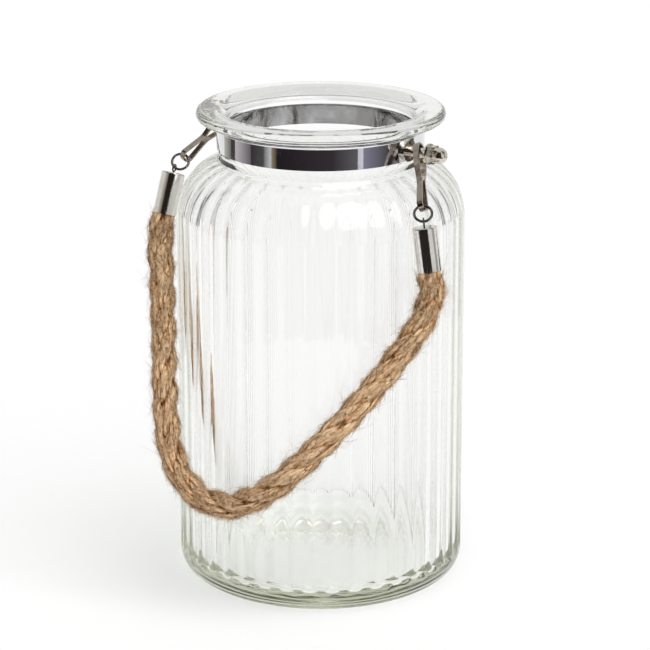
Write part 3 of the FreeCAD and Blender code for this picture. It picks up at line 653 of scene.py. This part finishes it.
def rope_strands(rope, line):
    """Three strands laid right-handed round the route. Strand k's middle is the route plus a radius
    turned by the distance over the lay plus k thirds of a turn. A strand's section is an oval, wider
    along the rope's skin, with round yarn crowns that twist the other way."""
    tangent = unit(np.gradient(line, axis=0))
    steps = np.linalg.norm(np.diff(line, axis=0), axis=1)
    distance = np.concatenate([[0.0], np.cumsum(steps)])
    outwards = line * np.array([1.0, 1.0, 0.0])
    side = unit(outwards - np.sum(outwards * tangent, axis=1, keepdims=True) * tangent)
    across = np.cross(tangent, side)
    end_gap = np.minimum(distance, distance[-1] - distance)
    freed = np.clip((end_gap - GRIP_END) / (FREE_START - GRIP_END), 0.0, 1.0)
    squeeze = GRIPPED + (FREE - GRIPPED) * freed
    strand = rope.diameter / 2 * rope.strand_share
    number = np.arange(STRANDS)[:, None]
    swell = 1.0 + ripple(distance, number, SWELL_WAVES)
    turn = 2 * math.pi * (distance / rope.lay + number / STRANDS) + ripple(distance, number, TURN_WAVES)
    outward = np.cos(turn)[..., None] * side + np.sin(turn)[..., None] * across
    orbit = (rope.diameter / 2 - strand) * squeeze
    middle = line + outward * orbit[None, :, None]
    along = unit(np.gradient(middle, axis=1))
    skin = unit(np.cross(along, outward))
    lift = np.cross(skin, along)
    around = np.linspace(0.0, 2 * math.pi, STRAND_SIDES, endpoint=False)
    twist = around[None, :] + (2 * math.pi * distance / rope.yarn_lay)[:, None]
    crown = np.abs(np.cos(twist * rope.yarns / 2))
    bulge = (strand * squeeze)[None, :] * swell
    run_on = 2 * math.pi * distance[None, :, None]
    bundles = sum(
        np.sin(waves * twist[None] + run_on / long + shift * number[:, :, None])
        for waves, long, shift in FIBRE_BUNDLES
    ) / len(FIBRE_BUNDLES)
    relief = rope.yarn_height * (np.sqrt(crown) - MEAN_CROWN)[None] + rope.relief * bundles
    reach = bulge[..., None] + relief
    points = middle[:, :, None, :] \
        + (reach * np.cos(around))[..., None] * lift[:, :, None, :] \
        + (reach * rope.strand_oval * np.sin(around))[..., None] * skin[:, :, None, :]
    # Painted shade: the colour darkens towards the rope's axis, in the grooves, and lightens as painted light
    # on the yarns' crowns and the raised bundles
    from_axis = np.linalg.norm(points - line[None, :, None, :], axis=3)
    depth = np.clip((from_axis / (rope.diameter / 2) - PAINTED_SHADE_FLOOR) / (1.0 - PAINTED_SHADE_FLOOR), 0.0, 1.0)
    depth = depth * (1.0 - YARN_PAINTED_SHADE + YARN_PAINTED_SHADE * crown[None]) + BUNDLE_PAINTED_SHADE * bundles
    grain = np.stack(np.broadcast_arrays(
        strand * np.cos(twist)[None], strand * np.sin(twist)[None],
        (GRAIN_LENGTH * distance[None, :, None] + GRAIN_STEP * number[:, :, None])), axis=-1)
    return {
        "points": points, "depth": depth, "grain": grain, "middle": middle, "along": along,
        "lift": lift, "skin": skin * rope.strand_oval, "reach": bulge, "distance": distance,
    }


def tube_faces(tubes, rows, columns):
    """Faces of closed tubes laid one after the other, each with a capping fan's middle at either end."""
    block = rows * columns
    quads = np.concatenate([grid_quads(rows, columns, number * block) for number in range(tubes)])
    caps = []
    for number in range(tubes):
        ring = np.arange(columns) + number * block
        caps.append(fan(tubes * block + 2 * number, ring[::-1]))
        caps.append(fan(tubes * block + 2 * number + 1, ring + block - columns))
    return [quads, np.concatenate(caps)]


def fibre_faces(total, steps):
    """Faces of three-sided tubes laid one after the other, with the middles of their end caps after them."""
    block = steps * FIBRE_SIDES
    start = np.arange(total)[:, None, None] * block
    quads = (start + grid_quads(steps, FIBRE_SIDES)[None]).reshape(-1, 4)
    side = np.arange(FIBRE_SIDES)
    base = np.stack([side[::-1], np.roll(side[::-1], -1)], axis=1)
    tip = np.stack([side, np.roll(side, -1)], axis=1) + block - FIBRE_SIDES
    middle = (total * block + 2 * np.arange(total))[:, None, None]
    caps = [
        np.concatenate([np.broadcast_to(middle + end, (total, FIBRE_SIDES, 1)), start + ring[None]], axis=2)
        for end, ring in enumerate((base, tip))
    ]
    return [quads, np.concatenate(caps).reshape(-1, 3)]


def loose_fibres(draw, laid, total, steps, long, spread, stand, thick):
    """Loose fibres: each starts on a strand's skin, runs along it at an angle and lifts off as a power of
    the way to its tip, with a side curl, as a three-sided tube that tapers."""
    distance = laid["distance"]
    inside = np.flatnonzero(np.minimum(distance, distance[-1] - distance) > FIBRE_START)
    row = inside[draw.integers(0, len(inside), total)]
    strand = draw.integers(0, STRANDS, total)
    place = draw.uniform(-FIBRE_ARC, FIBRE_ARC, total)
    lift, skin = laid["lift"][strand, row], laid["skin"][strand, row]
    along = laid["along"][strand, row]
    spoke = lift * np.cos(place)[:, None] + skin * np.sin(place)[:, None]
    out = unit(spoke)
    root = laid["middle"][strand, row] + spoke * laid["reach"][strand, row][:, None]
    heading = draw.normal(FIBRE_HEADING, spread, total)
    way = draw.choice([-1.0, 1.0], total)[:, None]
    forward = way * (along * np.cos(heading)[:, None] + np.cross(along, out) * np.sin(heading)[:, None])
    side = np.cross(forward, out)
    reach = draw.lognormal(math.log(long), LENGTH_SCATTER, total)
    rise = reach * draw.beta(*RISE_DRAW, total) * stand
    curl = reach * draw.normal(0.0, CURL_SCATTER, total)
    radius = draw.uniform(*thick, total)
    part = np.linspace(0.0, 1.0, steps)
    spine = root[:, None, :] \
        + forward[:, None, :] * (reach[:, None] * part)[..., None] \
        + out[:, None, :] * (rise[:, None] * part ** LIFT_POWER)[..., None] \
        + side[:, None, :] * (curl[:, None] * np.sin(CURL_TURN * part) ** 2)[..., None]
    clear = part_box("glass_jar")[1].x + GLASS_GAP
    plan = np.linalg.norm(spine[..., :2], axis=2, keepdims=True)
    spine[..., :2] *= np.maximum(clear / plan, 1.0)
    taper = radius[:, None] * (1.0 - FIBRE_TAPER * part)
    turn = np.radians(FIBRE_CORNERS)
    ring = np.cos(turn)[None, :, None] * out[:, None, :] + np.sin(turn)[None, :, None] * side[:, None, :]
    points = spine[:, :, None, :] + taper[:, :, None, None] * ring[:, None, :, :]
    ends = np.stack([spine[:, 0], spine[:, -1]], axis=1).reshape(-1, 3)
    # Painted light and shade: fibres rooted near a strand's crown get a lighter tone, those towards its
    # grooves a darker one, with a random scatter
    tone = draw.normal(0.0, TONE_SCATTER, total) + SHADED_GROOVE_TONE + CROWN_PAINTED_LIGHT * np.cos(place) ** 2
    tone = np.clip(tone, 0.0, 1.0)
    tones = np.concatenate([np.repeat(tone, steps * FIBRE_SIDES), np.repeat(tone, 2)])
    return np.concatenate([points.reshape(-1, 3), ends]), fibre_faces(total, steps), tones


class LANTERN_OT_glass_jar(Operator):
    """Build the fluted glass jar"""

    bl_idname = "lantern.glass_jar"
    bl_label = "Glass jar"

    def execute(self, context):
        jar = context.scene.lantern_jar
        points = jar_points(jar)
        rows, columns = points.shape[:2]
        poles = np.array([[0.0, 0.0, jar.push_up], [0.0, 0.0, jar.floor]])
        last = rows * columns
        rings = np.arange(columns)
        made = mesh_object("fluted_jar", np.concatenate([points.reshape(-1, 3), poles]), [
            grid_quads(rows, columns),
            np.concatenate([fan(last, rings[::-1]), fan(last + 1, rings + last - columns)]),
        ])
        made.data.materials.append(glass_material(jar))
        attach(made, "lantern")
        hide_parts("glass_jar")
        return {"FINISHED"}


class LANTERN_OT_rope(Operator):
    """Lay the rope's strands and loose fibres"""

    bl_idname = "lantern.rope"
    bl_label = "Rope handle"

    def execute(self, context):
        rope = context.scene.lantern_rope
        line = route_line()
        laid = rope_strands(rope, line)
        tubes, rows, columns = laid["points"].shape[:3]
        ends = np.stack([laid["middle"][:, 0], laid["middle"][:, -1]], axis=1).reshape(-1, 3)
        strands = mesh_object("rope_strands", np.concatenate([laid["points"].reshape(-1, 3), ends]),
                              tube_faces(tubes, rows, columns))
        # The painted shade of the grooves and the painted light of the crowns, kept on the points for the
        # material
        set_attribute(strands, "groove_shade", "FLOAT",
                      np.concatenate([laid["depth"].ravel(), np.zeros(len(ends))]))
        set_attribute(strands, "fibre_line", "FLOAT_VECTOR",
                      np.concatenate([laid["grain"].reshape(-1, 3), np.zeros_like(ends)]))
        strands.data.materials.append(jute_material(rope, "Laid jute", "groove_shade"))
        draw = np.random.default_rng(rope.seed)
        loose = jute_material(rope, "Loose jute fibre", "tone")
        fibres = []
        for name, counted, *shape in FIBRE_LAYERS:
            points, faces, tones = loose_fibres(draw, laid, getattr(rope, counted), *shape)
            made = mesh_object(name, points, faces)
            set_attribute(made, "tone", "FLOAT", tones)
            set_attribute(made, "fibre_line", "FLOAT_VECTOR", points)
            made.data.materials.append(loose)
            fibres.append(made)
        for piece in [strands] + fibres:
            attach(piece, "handle")
        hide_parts("rope")
        return {"FINISHED"}


class LANTERN_OT_metal(Operator):
    """Plate the band, the studs, the straps, the rings and the ferrules"""

    bl_idname = "lantern.metal"
    bl_label = "Plated metal"

    def execute(self, context):
        metal = context.scene.lantern_metal
        for name, starts, field, back, *marks in FINISHES:
            bright, stain = getattr(metal, field), getattr(metal, field + "_stain")
            finish = plate_material(name, bright, stain, getattr(metal, back) if back else None, *marks)
            for node, piece in NODES.items():
                if node.startswith(starts):
                    piece.material_slots[0].material = finish
        return {"FINISHED"}


def flat_sheet(name, points, material):
    """A four-cornered stage sheet."""
    made = mesh_object(name, np.array(points), [np.array([[0, 1, 2, 3]])])
    made.data.materials.append(material)


def seen_share(tree):
    """One on rays from the camera, off plate and through glass, and nought once light has scattered."""
    path = add_node(tree, "ShaderNodeLightPath")
    plain = add_node(tree, "ShaderNodeMath", {
        0: path.outputs["Is Camera Ray"], 1: path.outputs["Is Glossy Ray"]}, operation="MAXIMUM")
    seen = add_node(tree, "ShaderNodeMath", {
        0: plain.outputs["Value"], 1: path.outputs["Is Transmission Ray"]}, operation="MAXIMUM")
    first = add_node(tree, "ShaderNodeMath", {0: path.outputs["Diffuse Depth"], 1: 0.5},
                     operation="LESS_THAN")
    return add_node(tree, "ShaderNodeMath", {0: seen.outputs["Value"], 1: first.outputs["Value"]},
                    operation="MULTIPLY")


def floor_material(stage):
    """White paper that keeps shadows, with a little light added where it is looked at."""
    made, tree, output = new_material("White paper")
    paper = add_node(tree, "ShaderNodeBsdfDiffuse", {"Color": (*stage.paper, 1.0)})
    seen = seen_share(tree)
    level = add_node(tree, "ShaderNodeMath", {0: seen.outputs["Value"], 1: stage.lift}, operation="MULTIPLY")
    glow = add_node(tree, "ShaderNodeEmission", {"Strength": level.outputs["Value"]})
    both = add_node(tree, "ShaderNodeAddShader", {0: paper.outputs["BSDF"], 1: glow.outputs["Emission"]})
    tree.links.new(both.outputs["Shader"], output.inputs["Surface"])
    return made


def card_material():
    """A studio card that glows with the tone kept in its mesh."""
    made, tree, output = new_material("Studio card")
    made.cycles.emission_sampling = "NONE"
    tone = add_node(tree, "ShaderNodeAttribute", attribute_name="card_tone")
    card = add_node(tree, "ShaderNodeEmission", {"Color": tone.outputs["Vector"]})
    tree.links.new(card.outputs["Emission"], output.inputs["Surface"])
    return made


def studio_card(name, stage, material, away, card):
    """An upright curved card round the jar, from one turn to another in degrees, counted to the right
    from the direction of the camera, with a tone that runs evenly from one end to the other."""
    start, end, low, high, first, last = card
    posts = CARD_STEPS + 1
    turn = stage.azimuth - math.pi / 2 + np.radians(np.linspace(start, end, posts))
    foot = np.stack([np.cos(turn) * away, np.sin(turn) * away, np.full(posts, low)], axis=1)
    column = np.arange(CARD_STEPS)
    faces = np.stack([column, column + 1, column + 1 + posts, column + posts], axis=1)
    made = mesh_object(name, np.concatenate([foot, foot + UP * (high - low)]), [faces])
    set_attribute(made, "card_tone", "FLOAT_VECTOR", np.tile(np.linspace(first, last, posts), (2, 1)))
    made.data.materials.append(material)
    made.visible_camera = False
    made.visible_diffuse = False
    made.visible_shadow = False
    return made


class LANTERN_OT_stage(Operator):
    """Set the floor, the cards, the light and the camera"""

    bl_idname = "lantern.stage"
    bl_label = "Stage"

    def execute(self, context):
        scene = context.scene
        stage = scene.lantern_stage
        scene.view_settings.view_transform = "Standard"
        scene.cycles.max_bounces = 24
        scene.cycles.glossy_bounces = 16
        scene.cycles.transmission_bounces = 20
        scene.cycles.transparent_max_bounces = 24
        corners = [(x * FLOOR_REACH, y * FLOOR_REACH, -FLOOR_DROP)
                   for x, y in ((-1, -1), (1, -1), (1, 1), (-1, 1))]
        flat_sheet("paper_floor", corners, floor_material(stage))
        paint = card_material()
        for number, card in enumerate(FRONT_CARDS):
            made = studio_card("front_card_%d" % number, stage, paint, FRONT_AWAY, card)
            made.visible_transmission = False
        for number, card in enumerate(EDGE_CARDS):
            made = studio_card("edge_card_%d" % number, stage, paint, EDGE_AWAY, card)
            made.visible_glossy = False
        world = bpy.data.worlds.new("Studio")
        scene.world = world
        world.use_nodes = True
        tree = world.node_tree
        tree.nodes.clear()
        seen = seen_share(tree)
        level = add_node(tree, "ShaderNodeMapRange", {
            "Value": seen.outputs["Value"], "To Min": stage.sky, "To Max": 1.0})
        sky = add_node(tree, "ShaderNodeBackground", {"Strength": level.outputs["Result"]})
        output = add_node(tree, "ShaderNodeOutputWorld")
        tree.links.new(sky.outputs["Background"], output.inputs["Surface"])
        key = bpy.data.lights.new("key", "SUN")
        key.energy = stage.key
        key.angle = stage.key_spread
        lamp = bpy.data.objects.new("key", key)
        lamp.rotation_euler = (stage.key_forward, stage.key_aside, 0.0)
        lamp.visible_glossy = False
        scene.collection.objects.link(lamp)
        lens = bpy.data.cameras.new("camera")
        lens.lens = stage.lens
        lens.shift_x = stage.shift_x
        lens.shift_y = stage.shift_y
        camera = bpy.data.objects.new("camera", lens)
        camera.location = (math.sin(stage.azimuth) * stage.distance,
                           -math.cos(stage.azimuth) * stage.distance, stage.height)
        camera.rotation_euler = (math.pi / 2 - stage.pitch, 0.0, stage.azimuth)
        scene.collection.objects.link(camera)
        scene.camera = camera
        return {"FINISHED"}


OPERATORS = (LANTERN_OT_glass_jar, LANTERN_OT_rope, LANTERN_OT_metal, LANTERN_OT_stage)


class LANTERN_PT_sidebar(Panel):
    """The lantern's pieces and their settings"""

    bl_idname = "LANTERN_PT_sidebar"
    bl_label = "Jar lantern"
    bl_space_type = "VIEW_3D"
    bl_region_type = "UI"
    bl_category = "Lantern"

    def draw(self, context):
        for operator in OPERATORS:
            self.layout.operator(operator.bl_idname)
        for name in SETTINGS:
            settings = getattr(context.scene, name)
            box = self.layout.box()
            for field in settings.bl_rna.properties.keys():
                if field not in ("rna_type", "name"):
                    box.prop(settings, field)


SETTINGS = {
    "lantern_jar": LanternJar,
    "lantern_rope": LanternRope,
    "lantern_metal": LanternMetal,
    "lantern_stage": LanternStage,
}
CLASSES = tuple(SETTINGS.values()) + OPERATORS + (LANTERN_PT_sidebar,)


def register():
    """Adds the classes, and the settings to the scene."""
    for entry in CLASSES:
        bpy.utils.register_class(entry)
    for name, group in SETTINGS.items():
        setattr(bpy.types.Scene, name, PointerProperty(type=group))


def unregister():
    """Takes the settings and the classes away again."""
    for name in SETTINGS:
        delattr(bpy.types.Scene, name)
    for entry in reversed(CLASSES):
        bpy.utils.unregister_class(entry)


def main():
    """Builds the stage and every piece, and keeps the sizes."""
    register()
    bpy.ops.lantern.stage()
    bpy.ops.lantern.rope()
    bpy.ops.lantern.glass_jar()
    bpy.ops.lantern.metal()


if __name__ == "__main__":
    main()
